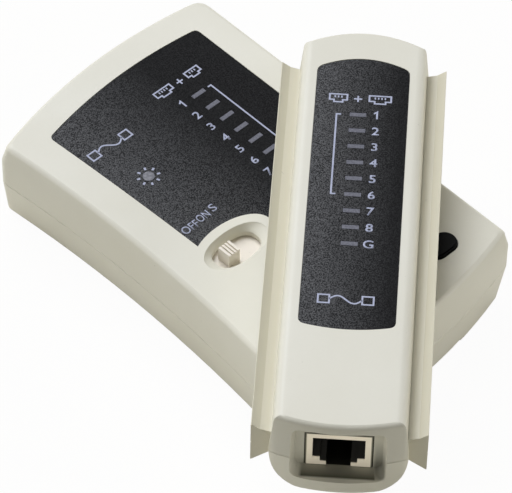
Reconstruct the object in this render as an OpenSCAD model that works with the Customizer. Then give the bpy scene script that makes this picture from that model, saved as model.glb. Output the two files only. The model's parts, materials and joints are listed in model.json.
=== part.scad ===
// Network cable tester: a flat master unit with a narrow remote unit lying across its face.
// Millimetres, +Z up. The origin is the centre of the master's underside, +X points to the
// docking side and +Y to the end with the sockets.

/* [Master case] */
// Length of the straight docking side
side_len = 106.6; // [105:0.1:110]
// Width of the face at its upper corners
face_w = 69.4; // [69:0.1:72]
// Room from the top of the battery to the labelled face
face_room = 4.8; // [4.6:0.1:8]
// Lean of the walls, out from the rim to the parting line
draft = 1.2; // [1:0.1:1.6]
// Wall thickness of every case half
wall = 2; // [1.8:0.1:2.2]
// Rounding of the upper and lower rims
rim_r = 1.4; // [1:0.1:1.6]
// Depth of the waist in the left side
waist = 3.3; // [2:0.1:4]
// Bulge of the two ends
end_rise = 4.5; // [4:0.1:5]

/* [Face] */
// Thickness of both face labels
label_t = 0.4; // [0.3:0.1:0.5]
// Lamps in each column
led_count = 9; // [7:1:9]
// Distance between lamps in a column
led_pitch = 5.08; // [4.9:0.02:5.1]
// Length of a lamp window
led_w = 4.2; // [3.8:0.1:4.6]
// Height of a lamp window
led_h = 1.4; // [1.2:0.1:1.6]
// Lamp column, to the right of the centre line
led_x = 11.85; // [11:0.05:13]
// Height of the first lamp above the centre line
led_y = 31.15; // [30:0.05:32]
// Diameter of the power lamp
power_d = 3; // [2.6:0.1:3.2]

/* [Slide switch and button] */
// Length of the slot in the oval recess
slot_l = 13.3; // [13:0.1:14]
// Width of the slot in the oval recess
slot_w = 7.8; // [7.4:0.1:8]
// Whole travel of the slide switch
switch_travel = 5; // [4:0.1:5.4]
// Width of the switch knob, along its travel
knob_l = 3.5; // [3.2:0.1:4.4]
// Depth of the switch knob, across its travel
knob_w = 3.8; // [3.6:0.1:4.6]
// Length of the push button
button_l = 9; // [8.4:0.1:9.4]
// Width of the push button
button_w = 6; // [5.6:0.1:6.4]
// Height of the button above the face
button_out = 1; // [0.8:0.1:2]
// Travel of the push button
button_travel = 1; // [0.8:0.1:1.2]

/* [Remote case] */
// Length of the remote between its face corners
remote_len = 114; // [112:0.1:116]
// Width of the remote's face
remote_w = 29.4; // [29:0.1:31]
// Height of the remote
remote_h = 23; // [23:0.1:25]
// Lean of the remote's sides at the parting line
remote_draft = 1.1; // [0.8:0.1:1.6]
// Rail projection from the side of the remote
rail_out = 4.2; // [3.9:0.05:4.4]
// Rail height where it meets the side
rail_root = 6.2; // [6:0.1:7]
// Rail height at its outer face
rail_tip = 12.8; // [12:0.1:13]
// Turn of the remote on the master's face
remote_yaw = -47.7; // [-50:0.1:-45]

/* [Sockets and battery] */
// Height of both jack housings
jack_h = 11.2; // [11:0.1:11.4]
// Depth of both jack housings
jack_l = 16; // [15:0.1:16.4]
// Width of the 8-way opening
rj45_w = 11.9; // [11.7:0.1:12]
// Width of the 6-way opening
rj11_w = 9.8; // [9.6:0.1:9.9]
// Length of the battery without its terminals
battery_l = 46.4; // [46:0.1:46.6]
// Width of the battery
battery_w = 26.2; // [25.8:0.1:26.5]
// Thickness of the battery
battery_t = 17.3; // [16.9:0.1:17.5]

/* [Hidden] */
$fn = 48;

// Shared clearances and stock sizes
fit = 0.2;
slide_gap = 0.3;
pcb_t = 1.6;
seam = 0.25;
skim = 0.01;
reach = 20;
case_cream = "#e2e1d8";
label_black = "#262628";
lamp_grey = "#6e6973";
jack_ivory = "#e4dccf";
board_green = "#2f6b3c";
chip_black = "#222224";
metal = "#c9cbcd";
gold = "#d8b25a";

// Master levels; the battery sets the height of the case
door_lift = 0.3;
door_t = 1.3;
battery_z = door_lift + door_t + slide_gap;
master_h = battery_z + battery_t + face_room;
mid = master_h / 2;
floor_t = 2.4;
ceiling = master_h - wall;
label_drop = 0.1;
pocket_z = master_h - label_drop - label_t;
rim_grow = 0.2;
lean_step = 5;
lean_lost = 0.7;
belly_drop = 5;
board_drop = 6.1;
pcb_z = ceiling - board_drop;
pcb_top = pcb_z + pcb_t;
jack_floor = pcb_z - jack_h;

// Master outline, anticlockwise from the lower left corner
side_mid_y = 1.3;
right_x = face_w / 2;
left_x = -face_w / 2;
top_y = side_mid_y + side_len / 2;
low_y = side_mid_y - side_len / 2;
top_slope = 4;
low_slope = 2;
shoulder = 0.3;
foot_flare = 2.5;
face_corners = [[left_x - foot_flare, low_y - low_slope], [right_x, low_y], [right_x, top_y],
    [left_x - shoulder, top_y - top_slope]];
face_rises = [end_rise, 0, end_rise, -waist];
face_radii = [5, 0.9, 3.2, 1.5];

// The underside, drawn in from the face at the low end, the docking side, the socket end and the left
tuck_low = -0.2;
tuck_dock = 1.4;
tuck_top = -0.8;
tuck_left = 0.6;
foot_corners = [face_corners[0] + [tuck_left, tuck_low], face_corners[1] + [-tuck_dock, tuck_low],
    face_corners[2] + [-tuck_dock, -tuck_top], face_corners[3] + [tuck_left, -tuck_top]];

// Slide switch, measured from the low end
switch_x = -15.7;
switch_y = low_y + 40.7;

// Master label, with the same order of corners
label_right = 26.35;
label_low = switch_y - 5.2;
label_corners = [[-22.3, label_low], [label_right, label_low], [label_right, 47.45], [-24.9, 45.2]];
label_rises = [0, 0, 2.6, -0.4];
label_radii = [1.4, 1.4, 1.4, 1.4];

// Oval switch recess
recess_l = 18.7;
recess_w = 10;
recess_drop = 1.5;
band_x = -15.5;
band_y = switch_y + 1.1;
band_l = 23.4;
band_w = 13;
slot_rim_z = ceiling - 0.9;
skirt_t = 0.8;
skirt_z = slot_rim_z - fit - skirt_t;
skirt_l = slot_l + switch_travel + 1.2;
skirt_w = slot_w + 1.6;
knob_x = switch_x - switch_travel / 2;
knob_top = master_h + 1;
stem_l = 2.6;
stem_w = 3;
housing_top = skirt_z - slide_gap;
housing_l = 14;
housing_w = 7;
stem_z = pcb_top + 1.8;

// Push button
button_x = right_x - 15.1;
button_y = low_y + 7.2;
flange = 1;
flange_t = 1.2;
flange_z = ceiling - fit - flange_t;
tact_w = 6;
plunger_r = 1.7;
tact_top = flange_z - button_travel - 0.4;
plunger_z = tact_top - 0.6;

// Power lamp
power_x = -15.85;
power_y = 19.45;

// Dock groove, sized from the remote's rail
dock_gap = 0.4;
dock_mouth = right_x + draft;
dock_floor = dock_mouth - rail_out - dock_gap;
dock_wall_x = dock_floor - wall;
dock_low_y = low_y + 4;

// Sockets of the master
rj45_body = rj45_w + 3.4;
rj11_body = rj11_w + 3.4;
rj45_x = -12;
rj11_x = 14;
jack_face_y = top_y + 1.2;

// Battery, its compartment and its door
battery_x = left_x + 4.5;
battery_y = low_y + 2.2;
door_inset = 0.4;
battery_end = battery_x + battery_l;
battery_far = battery_y + battery_w;
bay_rim = 0.6;
bay_x = battery_x - bay_rim;
bay_l = battery_l + 2 * bay_rim;
bay_far = battery_far + bay_rim;
bay_wall = 1.4;
bay_wall_h = 11;
tongue = 1;
tongue_z = 0.8;
tongue_t = 0.5;
terminal_l = 2.4;
snap_t = 4;
snap_w = 13;
snap_gap = 0.85;
snap_h = 2 * (pcb_z - snap_gap - battery_z - battery_t / 2);
snap_low = battery_z + (battery_t - snap_h) / 2;
terminal_pitch = 12.7;
small_post_r = 2.7;
large_post_r = 3.6;
lead_r = 0.7;

// Fasteners
boss_r = 3.4;
head_r = 2.4;
head_t = 1.8;
shank_r = 1.1;
head_z = 4;
case_screw_at = [[left_x + 6.2, top_y - 10.4], [right_x - 9.2, top_y - 9.6],
    [right_x - 7.1, low_y + 3.8], [left_x + 5.6, bay_far + 3.8]];
case_screw_l = mid + 5 - head_z;
pilot_r = 0.9;
board_screw_at = [[left_x + 9.2, top_y - 27.6], [right_x - 11.2, top_y - 28.6],
    [right_x - 10.7, bay_far + 2]];
board_post_r = 2.4;
board_screw_l = 5;

// Parts on the boards
chip_x = -3;
counter_y = 24;
counter_leg_count = 16;
timer_y = 8;
timer_leg_count = 8;
resistor_x = -22;
resistor_y = -4;
resistor_pitch = 4;
master_resistor_count = 6;
remote_resistor_count = 4;
capacitor_x = 22;
capacitor_y = 8;
capacitor_r = 3;
capacitor_l = 8;
rj45_pitch = 1.02;
jack_roof = 1.7;
rj45_ways = 8;
rj11_ways = 4;

// Remote levels, measured down from its face, with its own origin at the centre of the face
remote_x = -5.5;
remote_y = -39.6;
rest_gap = 0.05;
remote_mid = -10.8;
remote_top_r = 2;
remote_low_r = 10.5;
remote_low_w = remote_w + 0.4;
remote_wide = remote_w + 2 * remote_draft;
near_rise = 3.2;
far_rise = 5.6;
near_lean = 2;
near_foot = 1;
far_lean = 0.8;
far_foot = 0;
end_rim_r = 1.3;
rail_near = -remote_len / 2;
rail_far = remote_len / 2 - 1.9;
rail_sink = 1.2;
rail_edge = 0.4;
remote_pcb_z = -6.3;
board_gap = 0.4;
remote_pcb_top = remote_pcb_z + pcb_t;
pocket_wall = 1.6;
near_depth = 3.2;
far_depth = 4.5;
pocket_flare = 1;
pocket_drop = 0.5;
pocket_side = 3.3;
pocket_w = rj45_body + 2 * pocket_side;
port_l = 8;
pocket_top = -2.2;
pocket_low = remote_pcb_z - jack_h - fit - pocket_drop;
near_face_y = -(remote_len / 2 + near_rise - near_depth);
far_face_y = remote_len / 2 + far_rise - far_depth;
remote_led_x = -0.68;
remote_led_y = 35.1;
remote_label_w = 22.2;
remote_label_far = 50.1;
remote_label_near = -30;
remote_screw_at = [[-7.5, 33], [7.5, -30]];
remote_screw_z = -remote_h + 4;
remote_screw_l = -remote_screw_z + remote_mid + 5;

// A point on an edge from p to q that bulges outward by rise, at the share t of its length
function edge_point(p, q, rise, t) =
    let (along = q - p, out = [along[1], -along[0]] / norm(along))
    p + along * t + out * rise * 4 * t * (1 - t);

// A rounding curve between two points, pulled towards the corner, without its ends
function corner_points(a, corner, b, n) =
    [for (i = [1 : n - 1]) let (t = i / n) a * pow(1 - t, 2) + corner * 2 * t * (1 - t) + b * t * t];

// A closed outline through corners, with bulging edges and rounded corners
function outline(corners, rises, radii, n_edge = 14, n_corner = 6) =
    let (n = len(corners))
    [for (k = [0 : n - 1])
        let (p = corners[k], q = corners[(k + 1) % n], r = corners[(k + 2) % n], span = norm(q - p))
        let (next = norm(r - q), rise = rises[k], next_rise = rises[(k + 1) % n])
        let (a = radii[k] / span, b = 1 - radii[(k + 1) % n] / span)
        let (steps = rise == 0 ? 1 : n_edge, turn_r = radii[(k + 1) % n])
        let (from = edge_point(p, q, rise, b), to = edge_point(q, r, next_rise, turn_r / next))
        each concat(
            [for (i = [0 : steps]) edge_point(p, q, rise, a + (b - a) * i / steps)],
            corner_points(from, q, to, n_corner))];

// An outline moved outward by d along its own normals
function side_normal(a, b) = [b[1] - a[1], a[0] - b[0]] / norm(b - a);
function grow(pts, d) =
    let (n = len(pts))
    [for (i = [0 : n - 1])
        let (u = side_normal(pts[(i + n - 1) % n], pts[i]), v = side_normal(pts[i], pts[(i + 1) % n]))
        pts[i] + (u + v) * d / (1 + u * v)];

// An ellipse-like ring, squarer as the power rises
function oval_ring(l, w, power = 2, n = 48) =
    [for (i = [0 : n - 1])
        let (c = cos(360 * i / n), s = sin(360 * i / n), k = 2 / power)
        [sign(c) * pow(abs(c), k) * l / 2, sign(s) * pow(abs(s), k) * w / 2]];

// A solid through rings of points, each ring given as its height and its points
module skin(rings) {
    n = len(rings[0][1]);
    last = len(rings) - 1;
    points = [for (ring = rings) each [for (p = ring[1]) [p[0], p[1], ring[0]]]];
    sides = [for (k = [0 : last - 1])
        each [for (i = [0 : n - 1])
            let (a = k * n + i, b = k * n + (i + 1) % n)
            each [[a, a + n, b + n], [a, b + n, b]]]];
    bottom = [for (i = [0 : n - 1]) i];
    top = [for (i = [0 : n - 1]) last * n + n - 1 - i];
    polyhedron(points, concat(sides, [bottom, top]), convexity = 6);
}

// A flat oval with round ends, its long axis on X
module oval(l, w) {
    square([l - w, w], center = true);
    for (s = [-1, 1]) {
        translate([s * (l - w) / 2, 0]) circle(d = w);
    }
}

// A box centred on X and Y that stands on z
module block(l, w, z, h) {
    translate([-l / 2, -w / 2, z]) cube([l, w, h]);
}

// A cylinder from z upward
module rod(r, z, h) {
    translate([0, 0, z]) cylinder(r = r, h = h);
}

// A profile drawn in Y and Z, spread along X about the middle
module across(l) {
    translate([-l / 2, 0, 0]) rotate([90, 0, 90]) linear_extrude(l) children();
}

// A profile drawn in X and Z, run along Y from one place to another
module along(from, to) {
    translate([0, to, 0]) rotate([90, 0, 0]) linear_extrude(to - from) children();
}

// The outlines of the master's face and of its underside at a given outward step; inward steps have
// rounder corners
function step_radii(d) = [for (r = face_radii) r + 1.6 * max(0, -d)];
function face_ring(d) = grow(outline(face_corners, face_rises, step_radii(d)), d);
function foot_ring(d) = grow(outline(foot_corners, face_rises, step_radii(d)), d);

// Steps of a rim that rounds over to a flat face and runs a little past it, as heights and outward
// steps; way is 1 for up and -1 for down
function rim_steps(face_z, way, d, r) = concat(
    [for (a = [0 : 20 : 80]) [face_z - way * r * (1 - sin(a)), d - r * (1 - cos(a))]],
    [[face_z + way * 0.25, d - 1.4 * r]]);

// Steps of half a case, from just past the parting line to just past the flat face
function half_steps(face_z, part_z, d, r, lean) =
    let (way = sign(face_z - part_z))
    concat([[part_z - way * 2 * seam, lean - 3 * seam], [part_z + way * seam, lean]],
        rim_steps(face_z, way, d, r));

// Rings go upward, so the steps of a lower half are taken from the last to the first
function upward(steps) =
    steps[0][0] < steps[1][0] ? steps : [for (i = [len(steps) - 1 : -1 : 0]) steps[i]];

// The two outer halves of the master case, meeting at a fine seam
module master_upper_form() {
    steps = half_steps(master_h, mid, rim_grow, rim_r, draft);
    full = [[steps[0], steps[1], [master_h - belly_drop, draft]], [for (i = [2 : len(steps) - 1]) steps[i]]];
    intersection() {
        skin([for (part = full) each [for (s = part) [s[0], face_ring(s[1])]]]);
        block(2 * side_len, 2 * side_len, mid, mid);
    }
}

module master_lower_form() {
    rings = upward([for (s = half_steps(0, mid, rim_grow, rim_r, draft))
        [s[0], s[0] < mid / 2 ? foot_ring(s[1]) : face_ring(s[1])]]);
    intersection() {
        skin(rings);
        block(2 * side_len, 2 * side_len, 0, mid);
    }
}

// A straight-sided hollow with a given outline
module hollow(low, high, ring) {
    translate([0, 0, low]) linear_extrude(high - low) polygon(ring);
}

// The hollow of the upper and the lower half, in two steps that follow the lean of the walls
module master_upper_hollow() {
    hollow(mid - 1, mid + lean_step, face_ring(draft - wall - lean_lost));
    hollow(mid + lean_step - 1, ceiling, face_ring(rim_grow - wall));
}

module master_lower_hollow() {
    hollow(mid - lean_step, mid + 1, face_ring(draft - wall - lean_lost));
    hollow(floor_t, mid - lean_step + 1, foot_ring(rim_grow - wall));
}

// The dovetail groove on the docking side, open at the socket end
module dock_groove() {
    mouth = rail_root / 2 + dock_gap;
    deep = rail_tip / 2 + dock_gap;
    along(dock_low_y, top_y + end_rise + reach)
        polygon([[dock_mouth + 1, mid - mouth], [dock_mouth + 1, mid + mouth], [dock_floor, mid + deep],
            [dock_floor, mid - deep]]);
}

// The block behind the groove
module dock_backing() {
    half = rail_tip / 2 + dock_gap + wall;
    translate([dock_wall_x, dock_low_y - wall, mid - half])
        cube([reach, side_len + reach, 2 * half]);
}

// Passages through the end wall for both jacks
module jack_passages() {
    for (jack = [[rj45_x, rj45_body], [rj11_x, rj11_body]]) {
        translate([jack[0] - jack[1] / 2 - fit, jack_face_y - jack_l - fit, jack_floor - fit])
            cube([jack[1] + 2 * fit, jack_l + reach, jack_h + 2 * fit]);
    }
}

// One flat lamp window of a column
module led_windows(x, y, low, h, l = led_w, w = led_h) {
    for (i = [0 : led_count - 1]) {
        translate([x, y - i * led_pitch, 0]) block(l, w, low, h);
    }
}

// The area of the master label, notched round the switch recess
module label_area(d = 0) {
    difference() {
        polygon(grow(outline(label_corners, label_rises, label_radii), d));
        translate([band_x, band_y]) polygon(oval_ring(band_l - 2 * d, band_w - 2 * d));
        translate([band_x - band_l, label_low - reach])
            square([1.5 * band_l - d, band_y - label_low + reach - d]);
    }
}

// The hole of the switch: a sloping oval dish, then a straight slot
module switch_hole() {
    dish_z = master_h - recess_drop;
    translate([switch_x, switch_y, 0]) {
        skin([[slot_rim_z - 1, oval_ring(slot_l, slot_w, 2.6)], [dish_z, oval_ring(slot_l, slot_w, 2.6)],
            [dish_z + 0.5, oval_ring(slot_l + 1.2, slot_w + 0.6, 2.5)],
            [master_h - 0.3, oval_ring(recess_l - 0.6, recess_w - 0.5, 2.2)],
            [master_h + 0.2, oval_ring(recess_l + 0.6, recess_w + 0.4, 2.2)]]);
    }
}

// The upper hollow, less the groove's backing, the screw bosses, the board posts and the slot rim
module master_upper_room() {
    difference() {
        master_upper_hollow();
        dock_backing();
        for (at = case_screw_at) {
            translate([at[0], at[1], 0]) rod(boss_r - 0.6, mid - 2, mid);
        }
        for (at = board_screw_at) {
            translate([at[0], at[1], 0]) rod(board_post_r, pcb_top, mid);
        }
        translate([switch_x, switch_y, slot_rim_z])
            linear_extrude(wall) polygon(oval_ring(slot_l + 4, slot_w + 4, 2.4));
    }
}

module master_top_shell() {
    color(case_cream) difference() {
        master_upper_form();
        master_upper_room();
        dock_groove();
        jack_passages();
        switch_hole();
        translate([0, 0, pocket_z]) linear_extrude(reach) label_area(fit / 2);
        led_windows(led_x, led_y, ceiling - 1, wall + 2);
        translate([power_x, power_y, 0]) rod(power_d / 2 + fit / 2, ceiling - 1, wall + 2);
        translate([button_x, button_y, ceiling - 1])
            linear_extrude(wall + 2) oval(button_l + 2 * slide_gap, button_w + 2 * slide_gap);
        for (at = case_screw_at) {
            translate([at[0], at[1], 0]) rod(shank_r + fit / 2, mid - 1, head_z + case_screw_l + 1.5 - mid);
        }
        for (at = board_screw_at) {
            translate([at[0], at[1], 0]) rod(pilot_r + fit / 2, pcb_top - 1, board_screw_l);
        }
    }
}

// The way of the battery door through the underside, grown by a clearance
module door_slab(gap, side_gap) {
    start_y = low_y - reach;
    plate_l = bay_l + 2 * side_gap;
    run = bay_far + gap - start_y;
    translate([bay_x - side_gap, start_y, -1]) cube([plate_l, run, 1 + door_lift + door_t + gap]);
    translate([bay_x - tongue - side_gap, start_y, tongue_z - gap])
        cube([plate_l + 2 * tongue, run + tongue, tongue_t + 2 * gap]);
}

// The lower hollow, less the groove's backing, the screw bosses, the bay wall and the jack ribs
module master_lower_room() {
    difference() {
        master_lower_hollow();
        dock_backing();
        for (at = case_screw_at) {
            translate([at[0], at[1], 0]) rod(boss_r, 1, mid + 1);
        }
        translate([bay_x, bay_far, 1]) cube([bay_l, bay_wall, bay_wall_h]);
        for (jack_x = [rj45_x, rj11_x]) {
            for (s = [-1, 1]) {
                translate([jack_x + s * 4, jack_face_y - jack_l / 2, 0])
                    block(1.4, jack_l - 2, 1, jack_floor - 1);
            }
        }
    }
}

module master_bottom_shell() {
    color(case_cream) difference() {
        master_lower_form();
        master_lower_room();
        dock_groove();
        jack_passages();
        door_slab(fit, slide_gap);
        translate([bay_x, battery_y - bay_rim, 0]) cube([bay_l, battery_w + 2 * bay_rim, floor_t + 1]);
        for (at = case_screw_at) {
            translate([at[0], at[1], 0]) {
                rod(shank_r + fit, 0, mid + 1);
                rod(head_r + fit, -1, head_z + 1);
            }
        }
    }
}

// A layer of the battery door, its outer end curved like the case
module door_layer(side, z, t) {
    translate([0, 0, z]) linear_extrude(t) intersection() {
        polygon(foot_ring(-door_inset));
        translate([bay_x - side, low_y - reach]) square([bay_l + 2 * side, bay_far + side - low_y + reach]);
    }
}

module battery_door() {
    grip_y = low_y + 6;
    grip_l = 16;
    grip_w = 1;
    grip_pitch = 2.4;
    color(case_cream) difference() {
        union() {
            door_layer(0, door_lift, door_t);
            door_layer(tongue, tongue_z, tongue_t);
        }
        for (i = [0 : 3]) {
            translate([bay_x + bay_l / 2, grip_y + i * grip_pitch, 0]) block(grip_l, grip_w, door_lift - 1, 1.5);
        }
    }
}

module master_label() {
    color(label_black) difference() {
        translate([0, 0, pocket_z]) linear_extrude(label_t) label_area();
        led_windows(led_x, led_y, pocket_z - 1, 3);
        translate([power_x, power_y, 0]) rod(power_d / 2 + fit / 2, pocket_z - 1, 3);
    }
}

// The board: a wide part behind the label, and a tongue beside the battery that carries the button
module master_pcb() {
    edge_x = dock_wall_x - 1.2;
    tongue_x = battery_end + 0.45;
    shelf_y = bay_far + 4.2;
    back_x = left_x + waist + 1.4;
    front_y = jack_face_y - 3;
    step_x = rj45_x - rj45_body / 2 - 2;
    step_y = case_screw_at[0][1];
    color(board_green) difference() {
        translate([0, 0, pcb_z]) linear_extrude(pcb_t)
            polygon([[back_x, shelf_y], [tongue_x, shelf_y], [tongue_x, low_y + 1.6], [edge_x, low_y + 1.6],
                [edge_x, front_y], [step_x, front_y], [step_x, step_y], [back_x, step_y]]);
        for (at = case_screw_at) {
            translate([at[0], at[1], 0]) rod(boss_r + 0.2, pcb_z - 1, pcb_t + 2);
        }
        for (at = board_screw_at) {
            translate([at[0], at[1], 0]) rod(pilot_r + fit, pcb_z - 1, pcb_t + 2);
        }
    }
}

// A column of flat lamps: a block on the board and a lens that rises through each window
module led_column(x, y, foot, roof, face) {
    lens_gap = 0.1;
    color(lamp_grey) {
        led_windows(x, y, foot, roof - fit - foot, led_w + 0.8, led_h + 0.8);
        led_windows(x, y, roof - fit - skim, face - roof + fit, led_w - 2 * lens_gap, led_h - 2 * lens_gap);
    }
}

module master_leds() {
    led_column(led_x, led_y, pcb_top, ceiling, master_h - label_drop);
}

module power_led() {
    color(lamp_grey) translate([power_x, power_y, 0]) {
        rod(power_d / 2 + 0.4, pcb_top, ceiling - fit - pcb_top);
        rod(power_d / 2, ceiling - fit - skim, wall + fit);
    }
}

module switch_housing() {
    color(metal) difference() {
        translate([switch_x, switch_y, 0]) block(housing_l, housing_w, pcb_top, housing_top - pcb_top);
        translate([switch_x, switch_y, 0])
            block(stem_l + switch_travel + 2 * slide_gap, stem_w + 2 * slide_gap, stem_z - slide_gap, 10);
    }
}

// The knob with its grip ribs, the skirt that keeps dust out of the slot, and the stem below
module switch_knob() {
    rib_pitch = knob_l / 4;
    color(case_cream) translate([knob_x, switch_y, 0]) difference() {
        union() {
            block(skirt_l, skirt_w, skirt_z, skirt_t);
            block(knob_l, knob_w, skirt_z, knob_top - skirt_z);
            block(stem_l, stem_w, stem_z, skirt_z - stem_z + skim);
        }
        for (i = [-1 : 1]) {
            translate([i * rib_pitch, 0, 0]) block(rib_pitch * 0.45, knob_w + 1, knob_top - 0.5, 1);
        }
    }
}

module test_button() {
    top_z = master_h + button_out;
    step = 0.4;
    color("#141414") translate([button_x, button_y, 0]) {
        translate([0, 0, flange_z]) {
            linear_extrude(flange_t) oval(button_l + 2 * flange, button_w + 2 * flange);
            linear_extrude(top_z - step - flange_z) oval(button_l, button_w);
            linear_extrude(top_z - flange_z) oval(button_l - 2 * step, button_w - 2 * step);
        }
    }
}

module tact_switch() {
    color(metal) translate([button_x, button_y, 0]) difference() {
        block(tact_w, tact_w, pcb_top, tact_top - pcb_top);
        rod(plunger_r + fit, pcb_top - 1, tact_top - pcb_top + 2);
    }
}

module tact_plunger() {
    color("#141414") translate([button_x, button_y, 0]) rod(plunger_r, plunger_z, flange_z - plunger_z);
}

// A modular jack with its mouth at y = 0 facing -Y and its top at z = 0; the latch side is down
module jack(body_w, mouth_w) {
    mouth_h = 6.8;
    latch_h = 1.5;
    mouth_l = 12.5;
    latch_l = 9;
    latch_w = mouth_w - 3.4;
    key_w = mouth_w - 6.3;
    color(jack_ivory) difference() {
        translate([-body_w / 2, 0, -jack_h]) cube([body_w, jack_l, jack_h]);
        translate([-mouth_w / 2, -1, -jack_roof - mouth_h]) cube([mouth_w, mouth_l + 1, mouth_h]);
        translate([-latch_w / 2, -1, -jack_roof - mouth_h - latch_h]) cube([latch_w, latch_l + 1, latch_h + 1]);
        translate([-key_w / 2, -1, -jack_h - 1]) cube([key_w, latch_l + 1, jack_h - jack_roof - mouth_h]);
    }
}

// Spring contacts that hang from the roof of a jack and slope back into its mouth
module jack_contacts(count, pitch) {
    wire = 0.45;
    start = 1.6;
    knee = 3.2;
    tip = 10.6;
    drop = 3.4;
    color(gold) for (i = [0 : count - 1]) {
        translate([(i - (count - 1) / 2) * pitch, 0, -jack_roof])
            across(wire)
                polygon([[start, 0], [knee, 0], [tip, -drop], [tip - wire / 2, -drop - wire],
                    [knee - wire, -wire], [start, -wire]]);
    }
}

// Places a jack of the master, its mouth towards +Y
module at_master_socket(x) {
    translate([x, jack_face_y, pcb_z]) rotate([0, 0, 180]) children();
}

module master_rj45_jack() {
    at_master_socket(rj45_x) jack(rj45_body, rj45_w);
}

module master_rj45_contacts() {
    at_master_socket(rj45_x) jack_contacts(rj45_ways, rj45_pitch);
}

module master_rj11_jack() {
    at_master_socket(rj11_x) jack(rj11_body, rj11_w);
}

module master_rj11_contacts() {
    at_master_socket(rj11_x) jack_contacts(rj11_ways, rj45_pitch);
}

// Places a shape on the battery's terminal end, its axis along +X; side is -1 or 1
module at_terminal(side) {
    at_y = battery_y + battery_w / 2 + side * terminal_pitch / 2;
    translate([battery_end, at_y, battery_z + battery_t / 2]) rotate([0, 90, 0]) children();
}

module battery() {
    edge = 2;
    color("#2b2d33") {
        translate([battery_x, 0, 0]) rotate([90, 0, 90]) linear_extrude(battery_l)
            polygon(outline([[battery_y, battery_z], [battery_y + battery_w, battery_z],
                [battery_y + battery_w, battery_z + battery_t], [battery_y, battery_z + battery_t]],
                [0, 0, 0, 0], [edge, edge, edge, edge]));
        at_terminal(-1) rod(small_post_r, -skim, terminal_l);
        at_terminal(1) rod(large_post_r, -skim, terminal_l);
    }
}

module battery_snap() {
    snap_l = terminal_pitch + snap_w;
    color(chip_black) difference() {
        translate([battery_end + fit, battery_y + (battery_w - snap_l) / 2, snap_low])
            cube([snap_t, snap_l, snap_h]);
        at_terminal(-1) rod(small_post_r + fit, -1, terminal_l + 1 + fit);
        at_terminal(1) rod(large_post_r + fit, -1, terminal_l + 1 + fit);
    }
}

// A lead that leaves the snap's face level and bends up to the board
module battery_lead(side, tint) {
    start_x = battery_end + fit + snap_t;
    bend = pcb_z - snap_low - snap_h / 2;
    color(tint) translate([start_x, battery_y + battery_w / 2 + side * terminal_pitch / 3, pcb_z])
        rotate([-90, 0, 0]) rotate_extrude(angle = 90) translate([bend, 0]) circle(r = lead_r);
}

module battery_lead_red() {
    battery_lead(-1, "#b3261e");
}

module battery_lead_black() {
    battery_lead(1, "#1c1c1e");
}

// A chip under the board with two rows of legs that reach up to it
module chip(x, y, legs) {
    pitch = 2.54;
    body_w = 6.4;
    body_t = 3.3;
    lift = 0.5;
    leg_t = 0.3;
    leg_w = 0.6;
    row = 7.6;
    rows_l = (legs / 2 - 1) * pitch;
    color(chip_black) translate([x, y, pcb_z]) {
        block(rows_l + pitch, body_w, -lift - body_t, body_t);
        for (i = [0 : legs / 2 - 1]) {
            translate([i * pitch - rows_l / 2, 0, 0]) {
                block(leg_w, row, -lift - body_t / 2, leg_t);
                for (s = [-1, 1]) {
                    translate([0, s * (row - leg_t) / 2, 0])
                        block(leg_w, leg_t, -lift - body_t / 2, lift + body_t / 2);
                }
            }
        }
    }
}

module counter_ic() {
    chip(chip_x, counter_y, counter_leg_count);
}

module timer_ic() {
    chip(chip_x, timer_y, timer_leg_count);
}

// A resistor lying along Y below a board whose underside is at z = 0
module resistor() {
    body_r = 1.1;
    body_l = 6;
    leg_r = 0.3;
    span = 10;
    drop = body_r + 0.2;
    translate([0, 0, -drop]) {
        rotate([90, 0, 0]) cylinder(r = body_r, h = body_l, center = true);
        rotate([90, 0, 0]) cylinder(r = leg_r, h = span, center = true);
        for (s = [-1, 1]) {
            translate([0, s * (span / 2 - leg_r), 0]) cylinder(r = leg_r, h = drop);
        }
    }
}

module master_resistors() {
    color("#c8a26a") for (i = [0 : master_resistor_count - 1]) {
        translate([resistor_x + i * resistor_pitch, resistor_y, pcb_z]) resistor();
    }
}

module capacitor() {
    color("#26324f") translate([capacitor_x, capacitor_y, pcb_z]) rod(capacitor_r, -capacitor_l, capacitor_l);
}

// A cross-headed screw pointing up, the seat of its head at z = 0
module screw(shank_l, r, big_r, big_t) {
    slot_l = 1.3 * big_r;
    difference() {
        union() {
            rod(r, -skim, shank_l + skim);
            rod(big_r, -big_t, big_t);
        }
        for (a = [0, 90]) {
            rotate([0, 0, a]) block(slot_l, 0.22 * slot_l, -big_t - 1, 1.6);
        }
    }
}

module master_case_screws() {
    color(metal) for (at = case_screw_at) {
        translate([at[0], at[1], head_z]) screw(case_screw_l, shank_r, head_r, head_t);
    }
}

module master_pcb_screws() {
    color(metal) for (at = board_screw_at) {
        translate([at[0], at[1], pcb_z]) screw(board_screw_l, pilot_r, 1.9, 1.4);
    }
}

// Places the remote, face up, on the face of the master
module at_remote() {
    translate([remote_x, remote_y, master_h + rest_gap + remote_h]) rotate([0, 0, remote_yaw]) children();
}

// A rounded corner at b between its neighbours a and c, ends included
function rounded(a, b, c, r, n = 6) =
    let (from = b + (a - b) * r / norm(a - b), to = b + (c - b) * r / norm(c - b))
    concat([from], corner_points(from, b, to, n), [to]);

function flip_x(pts) = [for (i = [len(pts) - 1 : -1 : 0]) [-pts[i][0], pts[i][1]]];

// Right-hand halves of the remote's cross-section above and below the parting line
function upper_side() =
    let (hip = [remote_wide / 2, remote_mid + seam], brow = [remote_w / 2, 0])
    concat([[hip[0] - seam, remote_mid], hip], rounded(hip, brow, [0, 0], remote_top_r));

function lower_side() =
    let (hip = [remote_wide / 2, remote_mid - seam], foot = [remote_low_w / 2, -remote_h])
    concat([[hip[0] - seam, remote_mid], hip], rounded(hip, foot, [0, -remote_h], remote_low_r, 10));

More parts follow.
